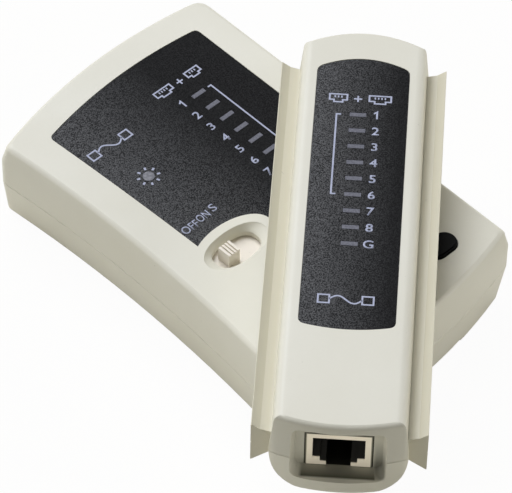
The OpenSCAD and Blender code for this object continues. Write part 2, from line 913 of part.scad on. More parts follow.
// Right-hand halves of a dovetail rail; way is 1 above the parting line and -1 below it
function rail_side(way) =
    let (root_x = remote_wide / 2 - rail_sink, tip_x = remote_wide / 2 + rail_out)
    let (root_h = rail_root / 2 - rail_sink * (rail_tip - rail_root) / 2 / rail_out)
    let (tip = [tip_x, remote_mid + way * rail_tip / 2], root = [root_x, remote_mid + way * root_h])
    concat([[root_x, remote_mid], [tip_x - seam, remote_mid], [tip_x, remote_mid + way * seam]],
        rounded([tip_x, remote_mid], tip, root, rail_edge, 3), [root]);

// The remote seen from above at an outward step of each end; only its ends shape the case
function remote_plan(near, far) =
    let (x = remote_wide / 2 + 1, low = -remote_len / 2 - near, high = remote_len / 2 + far, r = 2.5)
    outline([[-x, low], [x, low], [x, high], [-x, high]], [near_rise, 0, far_rise, 0], [r, r, r, r]);

// Half of the remote: its cross-section run along Y, trimmed by the shape of its ends
module remote_form(face_z, half, near_d, far_d) {
    near = upward(half_steps(face_z, remote_mid, near_d, end_rim_r, near_lean));
    far = upward(half_steps(face_z, remote_mid, far_d, end_rim_r, far_lean));
    intersection() {
        skin([for (i = [0 : len(near) - 1]) [near[i][0], remote_plan(near[i][1], far[i][1])]]);
        along(-remote_len, remote_len) polygon(concat(half, flip_x(half)));
    }
}

module remote_upper_form() {
    remote_form(0, upper_side(), 0, 0);
}

module remote_lower_form() {
    remote_form(-remote_h, lower_side(), near_foot, far_foot);
}

module rails(way) {
    half = rail_side(way);
    along(rail_near, rail_far) {
        polygon(half);
        polygon(flip_x(half));
    }
}

// The hollow of the remote, with square ends inside the end walls
module remote_hollow() {
    hip_x = remote_wide / 2 - wall;
    brow_x = remote_w / 2 - wall;
    foot = [remote_low_w / 2 - wall, -remote_h + wall];
    turn = rounded([hip_x, remote_mid], foot, [0, foot[1]], remote_low_r - wall);
    right = concat([[brow_x, -wall], [hip_x, remote_mid]], turn);
    along(-remote_len / 2 + wall, remote_len / 2 - wall) polygon(concat(right, flip_x(right)));
}

// The socket pocket of an end, flaring from the jack's face to the mouth; way is -1 near, 1 far
module pocket(way, face_y, w, depth) {
    centre_z = (pocket_top + pocket_low) / 2;
    h = pocket_top - pocket_low;
    turn = 2.5;
    function ring(dx, dy) =
        let (x = w / 2 - dx, y = h / 2 - dy)
        outline([[-x, -y], [x, -y], [x, y], [-x, y]], [0, 0, 0, 0], [turn, turn, turn, turn]);
    translate([0, face_y, centre_z]) rotate([-way * 90, 0, 0])
        skin([[0, ring(pocket_flare, pocket_drop)], [depth, ring(0, 0)], [depth + reach, ring(0, 0)]]);
}

module pocket_backing(way, face_y, w) {
    l = w + 2 * pocket_wall;
    inner = face_y - way * pocket_wall;
    outer = face_y + way * reach;
    translate([-l / 2, min(inner, outer), pocket_low - pocket_wall])
        cube([l, abs(outer - inner), pocket_top - pocket_low + 2 * pocket_wall]);
}

module jack_port(face_y, body_w) {
    translate([0, face_y, 0]) block(body_w + 2 * fit, port_l, remote_pcb_z - jack_h - fit, jack_h + 2 * fit);
}

// The pieces of wall that both halves of the remote share round the two sockets
module remote_pocket_walls() {
    pocket_backing(-1, near_face_y, pocket_w);
    pocket_backing(1, far_face_y, pocket_w);
}

module remote_pocket_cuts() {
    pocket(-1, near_face_y, pocket_w, near_depth);
    pocket(1, far_face_y, pocket_w, far_depth);
    jack_port(near_face_y, rj45_body);
    jack_port(far_face_y, rj11_body);
}

remote_post_at = [[-9, 12], [9, 12], [-9, -14], [9, 40]];
remote_post_r = 1.6;

module remote_label_area(d = 0) {
    x = remote_label_w / 2;
    polygon(grow(outline([[-x, remote_label_near], [x, remote_label_near], [x, remote_label_far],
        [-x, remote_label_far]], [1.4, 0, 3.2, 0], [1.4, 1.4, 1.4, 1.4]), d));
}

// The remote's hollow, less the walls round its sockets, the screw bosses and the board posts
module remote_room() {
    difference() {
        remote_hollow();
        remote_pocket_walls();
        for (at = remote_screw_at) {
            translate([at[0], at[1], 0]) {
                rod(boss_r - 0.6, remote_mid, remote_h);
                rod(boss_r, -remote_h, remote_h + remote_mid);
            }
        }
        for (at = remote_post_at) {
            translate([at[0], at[1], 0]) rod(remote_post_r, remote_pcb_top, remote_h);
        }
    }
}

module remote_top_shell() {
    color(case_cream) at_remote() difference() {
        union() {
            difference() {
                remote_upper_form();
                remote_room();
            }
            rails(1);
        }
        remote_pocket_cuts();
        translate([0, 0, -label_drop - label_t]) linear_extrude(reach) remote_label_area(fit / 2);
        led_windows(remote_led_x, remote_led_y, -wall - 1, wall + 2);
        for (at = remote_screw_at) {
            translate([at[0], at[1], 0]) rod(shank_r + fit / 2, remote_mid - 1, 7);
        }
    }
}

module remote_bottom_shell() {
    color(case_cream) at_remote() difference() {
        union() {
            difference() {
                remote_lower_form();
                remote_room();
            }
            rails(-1);
        }
        remote_pocket_cuts();
        for (at = remote_screw_at) {
            translate([at[0], at[1], 0]) {
                rod(shank_r + fit, -remote_h - 1, remote_h);
                rod(head_r + fit, -remote_h - 1, remote_screw_z + remote_h + 1);
            }
        }
    }
}

module remote_label() {
    color(label_black) at_remote() difference() {
        translate([0, 0, -label_drop - label_t]) linear_extrude(label_t) remote_label_area();
        led_windows(remote_led_x, remote_led_y, -2, 3);
    }
}

module remote_pcb() {
    near = max(near_face_y + pocket_wall, -remote_len / 2 + wall) + board_gap;
    far = min(far_face_y - pocket_wall, remote_len / 2 - wall) - board_gap;
    board_w = remote_w - 2 * wall - 1.6;
    color(board_green) at_remote() difference() {
        translate([-board_w / 2, near, remote_pcb_z]) cube([board_w, far - near, pcb_t]);
        for (at = remote_screw_at) {
            translate([at[0], at[1], 0]) rod(boss_r, remote_pcb_z - 1, pcb_t + 2);
        }
    }
}

module remote_leds() {
    at_remote() led_column(remote_led_x, remote_led_y, remote_pcb_top, -wall, -label_drop);
}

module remote_rj45_jack() {
    at_remote() translate([0, near_face_y, remote_pcb_z]) jack(rj45_body, rj45_w);
}

module remote_rj45_contacts() {
    at_remote() translate([0, near_face_y, remote_pcb_z]) jack_contacts(rj45_ways, rj45_pitch);
}

module remote_rj11_jack() {
    at_remote() translate([0, far_face_y, remote_pcb_z]) rotate([0, 0, 180]) jack(rj11_body, rj11_w);
}

module remote_rj11_contacts() {
    at_remote() translate([0, far_face_y, remote_pcb_z])
        rotate([0, 0, 180]) jack_contacts(rj11_ways, rj45_pitch);
}

module remote_resistors() {
    color("#c8a26a") at_remote() for (i = [0 : remote_resistor_count - 1]) {
        translate([-6 + i * resistor_pitch, 14, remote_pcb_z]) resistor();
    }
}

module remote_case_screws() {
    color(metal) at_remote() for (at = remote_screw_at) {
        translate([at[0], at[1], remote_screw_z]) screw(remote_screw_l, shank_r, head_r, head_t);
    }
}

master_top_shell();
master_bottom_shell();
master_label();
master_pcb();
master_leds();
power_led();
switch_housing();
switch_knob();
test_button();
tact_switch();
tact_plunger();
master_rj45_jack();
master_rj45_contacts();
master_rj11_jack();
master_rj11_contacts();
battery();
battery_snap();
battery_lead_red();
battery_lead_black();
battery_door();
counter_ic();
timer_ic();
master_resistors();
capacitor();
master_case_screws();
master_pcb_screws();
remote_top_shell();
remote_bottom_shell();
remote_label();
remote_pcb();
remote_leds();
remote_rj45_jack();
remote_rj45_contacts();
remote_rj11_jack();
remote_rj11_contacts();
remote_resistors();
remote_case_screws();
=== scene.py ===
"""Finish, printing and studio for the network cable tester."""
import json
import math

import bmesh
import bpy
from mathutils import Matrix, Vector


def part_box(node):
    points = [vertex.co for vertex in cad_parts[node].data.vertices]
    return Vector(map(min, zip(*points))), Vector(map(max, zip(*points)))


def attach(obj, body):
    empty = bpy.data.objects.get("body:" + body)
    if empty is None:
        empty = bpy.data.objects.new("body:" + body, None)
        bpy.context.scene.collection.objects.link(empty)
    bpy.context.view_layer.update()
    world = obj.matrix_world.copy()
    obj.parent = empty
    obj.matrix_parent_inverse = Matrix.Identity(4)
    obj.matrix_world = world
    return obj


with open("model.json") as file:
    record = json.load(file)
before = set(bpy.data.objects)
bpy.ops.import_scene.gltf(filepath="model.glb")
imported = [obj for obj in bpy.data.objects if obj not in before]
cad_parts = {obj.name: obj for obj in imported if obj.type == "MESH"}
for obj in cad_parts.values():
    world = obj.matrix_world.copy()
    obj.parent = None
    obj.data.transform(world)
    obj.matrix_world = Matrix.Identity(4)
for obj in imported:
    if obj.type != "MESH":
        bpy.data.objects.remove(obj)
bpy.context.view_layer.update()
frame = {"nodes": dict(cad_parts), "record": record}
nodes = frame["nodes"]
mounts = {mount["name"]: mount for mount in frame["record"]["mounts"]}
MM = 0.001
UP = Vector((0.0, 0.0, 1.0))

# Camera, from the viewing angle of the photograph
AIM = Vector((-12.51, -14.66, 24.0)) * MM
AZIMUTH = math.radians(44.72)
ELEVATION = math.radians(49.22)
ROLL = math.radians(1.13)
DISTANCE = 947.9 * MM
LENS = 278.9
SENSOR = 36.0
FAR_CLIP = 20.0

# Lights: place and size in metres, power in watts, colour
LIGHTS = {
    "key": ((0.50, 2.05, 2.85), 2.5, 118.5, (0.97, 0.99, 1.04)),
    "left": ((-0.95, 0.70, 0.38), 0.72, 4.6, (1.0, 0.99, 0.97)),
    "right": ((0.80, -0.95, 0.40), 0.75, 6.3, (1.0, 0.98, 0.94)),
    "front": ((-0.37, -0.34, 0.37), 0.2, 1.06, (1.0, 0.96, 0.91)),
}

# Background: its light on the object, and the share of its white that is seen in reflections and on
# the floor; a larger share in reflections hazes the labels
WHITE = (1.0, 1.0, 1.0)
WORLD_GREY = (0.06, 0.059, 0.056)
MIRRORED_WHITE = 0.25
FLOOR_WHITE = 0.96
FLOOR_TINT = (0.80, 0.775, 0.68)
FLOOR_ROUGH = 0.9
FLOOR_HALF = 2.0
FLOOR_Z = -0.02 * MM

# Shading of the solids: points closer than this are one, and edges sharper than this stay sharp
WELD = 0.002 * MM
CREASE = math.radians(32)
EVEN_WEIGHT = 80

# Remote unit: its middle between the two sockets, and where its rails leave the body, in millimetres
REMOTE_MID_SHIFT = 0.55 * MM
RAIL_ROOT = 15.0
RAIL_CLEAR = 16.2
RAIL_ENDS = (-56.95, 55.05)

# Section of the foot of a rail, across and up from the top of the remote, in millimetres
RAIL_FOOT = ((15.1, -6.85), (17.9, -6.05), (15.1, -8.6))

# Sockets: length, half width and half height of the space behind each face, and where its painted shade
# begins
PORT_L = 17.0
PORT_HALF_W = 8.2
PORT_HALF_H = 9.9
PORT_EDGE = 0.3
PORT_START_EDGE = 0.2
MASTER_PORT_START = 1.5
REMOTE_PORT_START = 0.2

# Pocket in front of a socket: spans of depth, side and height over which its painted shade comes or goes
POCKET_FRONT = (-3.4, -2.9)
POCKET_BACK = (0.2, 0.4)
POCKET_FLOOR_DEPTH = (-2.9, 0.0)
POCKET_FLOOR_SIDES = (8.2, 9.0)
POCKET_FLOOR_TOP = (-6.4, -5.5)
POCKET_FLOOR_BACK = 0.35
POCKET_WALL_NEAR = (7.6, 8.6)
POCKET_WALL_FAR = (10.4, 10.9)
POCKET_WALL_FOOT = (-7.1, -6.5)
POCKET_WALL_TOP = (-4.4, 3.6)
POCKET_WALL_SHADE = 0.7

# Jacks: painted shade round the face, where the painted dark inside begins, and the finish of the plastic
GAP_SHADE = 0.45
JACK_INSIDE = (0.12, 0.3)
JACK_FLOW = 3.0
JACK_TONE = 0.94
JACK_ROUGH = (0.28, 0.38)
JACK_SHINE = 0.2

# Case plastic: sizes of clouds, grain and specks in millimetres, with their reach and strength
CLOUD_SIZE = 28.0
CLOUD_STOPS = (0.3, 0.72)
GRAIN_SIZE = 0.7
GRAIN_SHARE = 0.09
GRAIN_TONE = 0.8
SPECK_SIZE = 0.9
SPECK_SPAN = (0.86, 0.92)
SPECK_SHARE = 0.25
SPECK_TONE = 0.45
GLOSS_SIZE = 3.0
CASE_ROUGH = (0.34, 0.46)
KNOB_ROUGH = (0.3, 0.4)
CASE_SHINE = 0.35

# Films: stops of the pebbled grain, broad clouds, and how dark the side without the painted reflection is
FILM_GRAIN = 0.38
FILM_STOPS = (0.40, 0.62)
FILM_CLOUD = 18.0
FILM_CLOUD_SHARE = 0.2
FILM_ROUGH = (0.62, 0.42)
FILM_SHINE = 0.4
FILM_BUMP = 0.7
SHEENLESS_TONE = 0.12

# Other plastics and metals: stops of their marks, spread of roughness, and the metal's bump
MARK_STOPS = (0.3, 0.7)
FLOW_SIZE = 4.0
FLOW_ROUGH = (0.85, 1.15)
PLAIN_SHINE = 0.5
METAL_MARK = 0.8
METAL_DETAIL = 4
METAL_BREAK = 0.65
METAL_TONE = 0.82
METAL_ROUGH = (0.196, 0.392)
METAL_BUMP = (0.006, 0.5)

# Grain of moulded plastic: size and depth in millimetres, strength
CASE_BUMP = (0.28, 0.012, 0.5)
SMOOTH_BUMP = (0.5, 0.01, 0.4)
JACK_BUMP = (0.5, 0.008, 0.4)

# Places of the sockets of a colour mix
MIX_FACTOR, MIX_A, MIX_B, MIX_RESULT = 0, 6, 7, 2

# Lamp columns on both labels, in millimetres on each face
LED_PITCH = 5.08
LED_MARKS = ("1", "2", "3", "4", "5", "6", "7", "8", "G")
MASTER_LED = (11.85, 31.15)
REMOTE_LED = (-0.68, 35.1)
POWER_LED = (-15.85, 19.45)
BRACKET_LEDS = 6

# Printed lines, in millimetres
PRINT_T = 0.02 * MM
PRINT_LINE = 0.42
RAY_LINE = 0.55
RAY_SPAN = (2.15, 3.0)
RAY_COUNT = 8
PIN_LINE = 0.34
PIN_PITCH = 0.8
PIN_SPAN = (0.45, 1.1)
SOCKET_H = 2.5
SOCKET_STEP = 0.22
PLUS_HALF = 1.0
PLUG_L = 2.6
PLUG_W = 2.4
CABLE_HALF = 6.4
CABLE_SWING = 1.1
CABLE_STEPS = 12

# Numbers and words: height of capitals, weight of the line, and width or place, in millimetres
FONT_STEPS = 4
MARK_H = 2.5
MARK_WEIGHT = 0.016
MARK_STRETCH = 1.1
MASTER_MARK_X = -5.3
REMOTE_MARK_X = 4.4
ONE_H = 2.3
ONE_FLAG = (-0.6, 0.24)
ONE_STEM = 0.15
WORD_H = 2.4
WORD_WEIGHT = 0.004
SWITCH_WORDS = (("OFF", (-19.7, 0.6), 4.9), ("ON", (-15.1, 1.05), 3.6), ("S", (-11.5, 1.5), 1.6))

# Signs: width and contacts of the two sockets, and the places of all signs on each label
WIDE_SOCKET = (5.2, 4)
NARROW_SOCKET = (4.2, 3)
MASTER_SIGNS = {
    "bracket": (16.0, MASTER_LED[1], -1.0), "cable": (-15.8, 33.4),
    "wide": (6.0, 37.3), "plus": (11.2, 37.3), "narrow": (15.8, 37.3),
}
REMOTE_SIGNS = {
    "bracket": (-5.8, REMOTE_LED[1] - 0.1, 1.1), "cable": (-0.6, -22.6),
    "narrow": (-5.6, 40.2), "plus": (-0.9, 40.2), "wide": (4.4, 40.2),
}


def mount_place(name):
    """Where a mount of the record is."""
    return Vector(mounts[name]["pos_m"])


def remote_frame():
    """The remote's own axes on its label, found from its two sockets."""
    near = mount_place("remote_socket_8way")
    far = mount_place("remote_socket_6way")
    along = (far - near).normalized()
    right = along.cross(UP)
    at = (near + far) / 2 - along * REMOTE_MID_SHIFT
    at.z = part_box("remote_label")[1][2]
    turn = Matrix((right, along, UP)).transposed().to_4x4()
    return Matrix.Translation(at) @ turn


MASTER_FACE = Matrix.Translation((0.0, 0.0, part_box("master_label")[1][2]))
REMOTE_FACE = remote_frame()


# Shader helpers
def new_material(name):
    """A material with its node tree and its main shader."""
    material = bpy.data.materials.new(name)
    material.use_nodes = True
    tree = material.node_tree
    return material, tree, tree.nodes["Principled BSDF"]


def add_node(tree, kind, **values):
    """A node with the given inputs set by name."""
    node = tree.nodes.new(kind)
    for key, value in values.items():
        node.inputs[key].default_value = value
    return node


def feed(tree, value, socket):
    """Links a socket, or sets a number or a colour."""
    if isinstance(value, bpy.types.NodeSocket):
        tree.links.new(value, socket)
    elif isinstance(value, (int, float)):
        socket.default_value = value
    else:
        socket.default_value = (*value, 1.0)


def object_coords(tree):
    """The piece's own coordinates, in metres."""
    return tree.nodes.new("ShaderNodeTexCoord").outputs["Object"]


def noise(tree, coords, size, detail, rough=0.5):
    """A noise whose features are about size millimetres across."""
    node = add_node(tree, "ShaderNodeTexNoise", Scale=1.0 / (size * MM), Detail=detail, Roughness=rough)
    tree.links.new(coords, node.inputs["Vector"])
    return node.outputs["Fac"]


def ramp(tree, value, stops, first, last):
    """A colour ramp from the first colour to the last, between two stops."""
    node = tree.nodes.new("ShaderNodeValToRGB")
    for element, place, colour in zip(node.color_ramp.elements, stops, (first, last)):
        element.position = place
        element.color = (*colour, 1.0)
    tree.links.new(value, node.inputs["Fac"])
    return node.outputs["Color"]


def mix(tree, factor, a, b):
    """A colour mix; factor, a and b are sockets or values."""
    node = tree.nodes.new("ShaderNodeMix")
    node.data_type = "RGBA"
    for place, value in ((MIX_FACTOR, factor), (MIX_A, a), (MIX_B, b)):
        feed(tree, value, node.inputs[place])
    return node.outputs[MIX_RESULT]


def arithmetic(tree, operation, a, b=0.0):
    """One sum of sockets or numbers."""
    node = tree.nodes.new("ShaderNodeMath")
    node.operation = operation
    feed(tree, a, node.inputs[0])
    feed(tree, b, node.inputs[1])
    return node.outputs[0]


def product(tree, values):
    """The product of several sockets."""
    total = values[0]
    for value in values[1:]:
        total = arithmetic(tree, "MULTIPLY", total, value)
    return total


def spread(tree, value, low, high, start=0.0, end=1.0):
    """A value moved from the range start..end to low..high, and held there."""
    node = tree.nodes.new("ShaderNodeMapRange")
    for name, number in (("From Min", start), ("From Max", end), ("To Min", low), ("To Max", high)):
        node.inputs[name].default_value = number
    tree.links.new(value, node.inputs["Value"])
    return node.outputs["Result"]


def rise(tree, value, span):
    """0 before a span and 1 after it."""
    return spread(tree, value, 0.0, 1.0, *span)


def fall(tree, value, span, first=1.0, last=0.0):
    """The first number before a span and the last after it."""
    return spread(tree, value, first, last, *span)


def depth_along(tree, coords, origin, axis):
    """How far a point lies from origin along axis, in millimetres."""
    aim = Vector(axis).normalized()
    dot = tree.nodes.new("ShaderNodeVectorMath")
    dot.operation = "DOT_PRODUCT"
    tree.links.new(coords, dot.inputs[0])
    dot.inputs[1].default_value = aim / MM
    return arithmetic(tree, "SUBTRACT", dot.outputs["Value"], Vector(origin).dot(aim) / MM)


def across_face(tree, coords, face):
    """How far a point lies to the right of the middle of a face, in millimetres."""
    return depth_along(tree, coords, face.translation, face.col[0].xyz)


def bump(tree, shader, height, depth, strength):
    """A bump of the given depth in millimetres."""
    node = add_node(tree, "ShaderNodeBump", Strength=strength, Distance=depth * MM)
    tree.links.new(height, node.inputs["Height"])
    tree.links.new(node.outputs["Normal"], shader.inputs["Normal"])


def grain_bump(tree, shader, coords, size, depth, strength):
    """A moulded grain of the given size and depth in millimetres."""
    bump(tree, shader, noise(tree, coords, size, detail=2), depth, strength)


def set_looks(tree, shader, colour, rough, shine):
    """Links colour and roughness, and sets the strength of the gloss."""
    tree.links.new(colour, shader.inputs["Base Color"])
    tree.links.new(rough, shader.inputs["Roughness"])
    shader.inputs["Specular IOR Level"].default_value = shine


def scaled(values, factor):
    """Numbers, such as those of a colour, times a factor."""
    return [value * factor for value in values]


# Masks
def rail_shade_mask(tree, coords):
    """1 on the remote's rails, which get a darker, yellower cream as painted shade, 0 on its body."""
    across = arithmetic(tree, "ABSOLUTE", across_face(tree, coords, REMOTE_FACE))
    return rise(tree, across, (RAIL_ROOT, RAIL_CLEAR))


def port_places(tree, coords, mount):
    """A point's depth into a socket's port, and its place to the right of the middle and above it."""
    place = mount_place(mount)
    inward = -Vector(mounts[mount]["axis"])
    return [depth_along(tree, coords, place, axis) for axis in (inward, inward.cross(UP), UP)]


def port_shade_mask(tree, coords, mount, start):
    """1 on the case walls inside a socket's port, deeper than start, which are painted black as shade; 0
    elsewhere.
    """
    depth, aside, height = port_places(tree, coords, mount)
    across = arithmetic(tree, "ABSOLUTE", aside)
    level = arithmetic(tree, "ABSOLUTE", height)
    limits = ((depth, PORT_L), (across, PORT_HALF_W), (level, PORT_HALF_H))
    inside = [fall(tree, distance, (limit, limit + PORT_EDGE)) for distance, limit in limits]
    return product(tree, inside + [rise(tree, depth, (start, start + PORT_START_EDGE))])


def pocket_shade_mask(tree, coords, mount):
    """Painted shade in a socket's pocket: on the floor, most of it behind the lip, and up the right wall.
    """
    depth, aside, height = port_places(tree, coords, mount)
    across = arithmetic(tree, "ABSOLUTE", aside)
    pocket = product(tree, [rise(tree, depth, POCKET_FRONT), fall(tree, depth, POCKET_BACK)])
    floor = product(tree, [fall(tree, depth, POCKET_FLOOR_DEPTH, last=POCKET_FLOOR_BACK),
                           fall(tree, across, POCKET_FLOOR_SIDES),
                           fall(tree, height, POCKET_FLOOR_TOP)])
    wall = product(tree, [rise(tree, aside, POCKET_WALL_NEAR),
                          fall(tree, aside, POCKET_WALL_FAR),
                          rise(tree, height, POCKET_WALL_FOOT),
                          fall(tree, height, POCKET_WALL_TOP, first=POCKET_WALL_SHADE)])
    return arithmetic(tree, "MULTIPLY", pocket, arithmetic(tree, "MAXIMUM", floor, wall))


# Materials
def case_plastic(name, light, dark, rough=CASE_ROUGH, rail=None, ports=()):
    """Aged cream plastic: faint clouds of colour, a few specks, fine moulded grain, satin gloss; painted
    shade on the rails, black painted as shade inside the ports, and painted shade in their pockets.
    """
    material, tree, shader = new_material(name)
    coords = object_coords(tree)
    clouds = noise(tree, coords, CLOUD_SIZE, detail=3)
    colour = ramp(tree, clouds, CLOUD_STOPS, dark, light)
    grain = noise(tree, coords, GRAIN_SIZE, detail=1)
    colour = mix(tree, spread(tree, grain, 0.0, GRAIN_SHARE), colour, scaled(dark, GRAIN_TONE))
    if rail:
        # The rails painted a darker, yellower cream as shade.
        colour = mix(tree, rail_shade_mask(tree, coords), colour, rail)
    specks = noise(tree, coords, SPECK_SIZE, detail=0)
    specks = spread(tree, specks, 0.0, SPECK_SHARE, *SPECK_SPAN)
    colour = mix(tree, specks, colour, scaled(dark, SPECK_TONE))
    for mount, start, pocket in ports:
        # The case walls inside each port painted black as shade.
        colour = mix(tree, port_shade_mask(tree, coords, mount, start), colour, CAVITY_SHADE)
        # The pocket's floor and right wall get painted shade.
        if pocket:
            colour = mix(tree, pocket_shade_mask(tree, coords, mount), colour, POCKET_SHADE)
    gloss = noise(tree, coords, GLOSS_SIZE, detail=3)
    set_looks(tree, shader, colour, spread(tree, gloss, *rough), CASE_SHINE)
    grain_bump(tree, shader, coords, *CASE_BUMP)
    return material


def grained_film(name, dark, light, depth, size=FILM_GRAIN, shine=FILM_SHINE, sheen=None):
    """Film with a pebbled grain; sheen is a face and the span across it over which its painted reflection
    ends, the film darker beyond.
    """
    material, tree, shader = new_material(name)
    coords = object_coords(tree)
    grain = noise(tree, coords, size, detail=1)
    clouds = noise(tree, coords, FILM_CLOUD, detail=2)
    colour = ramp(tree, grain, FILM_STOPS, dark, light)
    colour = mix(tree, spread(tree, clouds, 0.0, FILM_CLOUD_SHARE), colour, light)
    # Painted reflection: the film lighter on one side of the face and darker past the span.
    if sheen:
        face, span = sheen
        black = ramp(tree, grain, FILM_STOPS, dark, scaled(light, SHEENLESS_TONE))
        colour = mix(tree, rise(tree, across_face(tree, coords, face), span), colour, black)
    set_looks(tree, shader, colour, spread(tree, grain, *FILM_ROUGH), shine)
    bump(tree, shader, grain, depth, FILM_BUMP)
    return material


def smooth_plastic(name, colour, rough, tone, size=FLOW_SIZE, coat=0.0, shine=PLAIN_SHINE):
    """Injection-moulded plastic with slight flow marks."""
    material, tree, shader = new_material(name)
    coords = object_coords(tree)
    flow = noise(tree, coords, size, detail=3)
    shade = ramp(tree, flow, MARK_STOPS, scaled(colour, tone), colour)
    set_looks(tree, shader, shade, spread(tree, flow, *scaled(FLOW_ROUGH, rough)), shine)
    shader.inputs["Coat Weight"].default_value = coat
    grain_bump(tree, shader, coords, *SMOOTH_BUMP)
    return material


def jack_reach(node, mount):
    """Half a jack's width and the height of its top, both from its mount, in millimetres."""
    side = Vector(mounts[mount]["axis"]).cross(UP)
    points = [node.matrix_world @ vertex.co - mount_place(mount) for vertex in node.data.vertices]
    return max(point.dot(side) for point in points) / MM, max(point.z for point in points) / MM


def jack_plastic(name, mount, reach):
    """A jack with a pale face round a cavity painted black as shade, and painted shade in the gap along its
    sides and top.
    """
    material, tree, shader = new_material(name)
    coords = object_coords(tree)
    flow = noise(tree, coords, JACK_FLOW, detail=3)
    pale = ramp(tree, flow, MARK_STOPS, scaled(IVORY, JACK_TONE), IVORY)
    depth, aside, height = port_places(tree, coords, mount)
    across = arithmetic(tree, "ABSOLUTE", aside)
    # Painted shade of the gap along the jack's sides and top.
    edges = [rise(tree, place, (end - GAP_SHADE, end - GAP_SHADE / 2))
             for place, end in zip((across, height), reach)]
    pale = mix(tree, arithmetic(tree, "MAXIMUM", *edges), pale, POCKET_SHADE)
    # The inside of the jack painted black as shade.
    colour = mix(tree, rise(tree, depth, JACK_INSIDE), pale, CAVITY_SHADE)
    set_looks(tree, shader, colour, spread(tree, flow, *JACK_ROUGH), JACK_SHINE)
    grain_bump(tree, shader, coords, *JACK_BUMP)
    return material


def bright_metal(name, colour):
    """Plated metal with fine scratches of gloss."""
    material, tree, shader = new_material(name)
    marks = noise(tree, object_coords(tree), METAL_MARK, METAL_DETAIL, METAL_BREAK)
    shade = ramp(tree, marks, MARK_STOPS, scaled(colour, METAL_TONE), colour)
    set_looks(tree, shader, shade, spread(tree, marks, *METAL_ROUGH), PLAIN_SHINE)
    shader.inputs["Metallic"].default_value = 1.0
    bump(tree, shader, marks, *METAL_BUMP)
    return material


# Colours, the painted reflection across the labels, and ports with where their painted dark begins and
# whether their pocket gets painted shade
CREAM = (0.80, 0.785, 0.69)
CREAM_DARK = (0.765, 0.745, 0.64)
# Darker, yellower cream painted on the rails as shade.
RAIL_SHADE_CREAM = (0.735, 0.70, 0.565)
KNOB_LIGHT = (0.90, 0.85, 0.77)
KNOB_DARK = (0.84, 0.78, 0.68)
IVORY = (0.93, 0.865, 0.72)
# Black painted as shade inside the ports and jacks.
CAVITY_SHADE = (0.032, 0.032, 0.03)
# Painted shade in the sockets' pockets and in the gap round each jack.
POCKET_SHADE = (0.11, 0.11, 0.08)
LABEL_DARK = (0.003, 0.003, 0.0035)
LABEL_LIGHT = (0.135, 0.137, 0.143)
# The remote's film painted lighter than the master's, as painted reflection.
REMOTE_LABEL_SHEEN_LIGHT = scaled(LABEL_LIGHT, 1.16)
# Painted reflection across each label: the face and where it ends.
MASTER_SHEEN = (MASTER_FACE, (-22.0, 8.0))
REMOTE_SHEEN = (REMOTE_FACE, (-12.0, 9.5))
MASTER_PORTS = [(mount, MASTER_PORT_START, False) for mount in ("master_socket_8way", "master_socket_6way")]
REMOTE_PORTS = [(mount, REMOTE_PORT_START, True) for mount in ("remote_socket_8way", "remote_socket_6way")]

case_mat = case_plastic("case_cream", CREAM, CREAM_DARK, ports=MASTER_PORTS)
remote_mat = case_plastic("remote_cream", CREAM, CREAM_DARK, rail=RAIL_SHADE_CREAM, ports=REMOTE_PORTS)
knob_mat = case_plastic("knob_ivory", KNOB_LIGHT, KNOB_DARK, rough=KNOB_ROUGH)
label_mat = grained_film("label_film", LABEL_DARK, LABEL_LIGHT,
                         depth=0.05, size=0.25, shine=0.06, sheen=MASTER_SHEEN)
remote_label_mat = grained_film("remote_film", LABEL_DARK, REMOTE_LABEL_SHEEN_LIGHT,
                                depth=0.05, size=0.24, shine=0.06, sheen=REMOTE_SHEEN)
print_mat = grained_film("print_lilac", (0.39, 0.42, 0.56), (0.46, 0.49, 0.64), depth=0.02)
lamp_mat = grained_film("lamp_window", (0.095, 0.097, 0.125), (0.14, 0.143, 0.18), depth=0.03)
lens_mat = grained_film("power_lens", (0.13, 0.135, 0.16), (0.22, 0.22, 0.25),
                        depth=0.02, size=0.9, shine=0.5)
black_mat = smooth_plastic("black_plastic", (0.003, 0.003, 0.003), rough=0.4, tone=0.6, shine=0.06)
board_mat = smooth_plastic("board_green", (0.03, 0.15, 0.05), rough=0.35, tone=0.7, size=3.0, coat=0.4)
steel_mat = bright_metal("plated_steel", (0.62, 0.62, 0.61))
gold_mat = bright_metal("contact_gold", (0.80, 0.58, 0.22))
battery_mat = smooth_plastic("battery_skin", (0.025, 0.026, 0.032), rough=0.25, tone=0.7)
red_mat = smooth_plastic("lead_red", (0.45, 0.02, 0.015), rough=0.4, tone=0.8)
resistor_mat = smooth_plastic("resistor_tan", (0.55, 0.36, 0.16), rough=0.35, tone=0.8)
capacitor_mat = smooth_plastic("capacitor_sleeve", (0.015, 0.025, 0.08), rough=0.3, tone=0.7)

# Finish by the record's material slot, then the nodes that differ from their slot
FINISH = {
    "case": case_mat, "label": label_mat, "board": board_mat, "lamp": lamp_mat,
    "black_plastic": black_mat, "steel": steel_mat, "contact": gold_mat,
    "battery": battery_mat, "red_lead": red_mat, "black_lead": black_mat,
    "resistor": resistor_mat, "capacitor": capacitor_mat,
}
NODE_FINISH = {
    "switch_knob": knob_mat, "power_led": lens_mat,
    "remote_top_shell": remote_mat, "remote_bottom_shell": remote_mat, "remote_label": remote_label_mat,
}
JACK_MOUNTS = {
    "master_rj45_jack": "master_socket_8way", "master_rj11_jack": "master_socket_6way",
    "remote_rj45_jack": "remote_socket_8way", "remote_rj11_jack": "remote_socket_6way",
}
for node_name, mount_name in JACK_MOUNTS.items():
    jack_sides = jack_reach(nodes[node_name], mount_name)
    NODE_FINISH[node_name] = jack_plastic(node_name + "_plastic", mount_name, jack_sides)


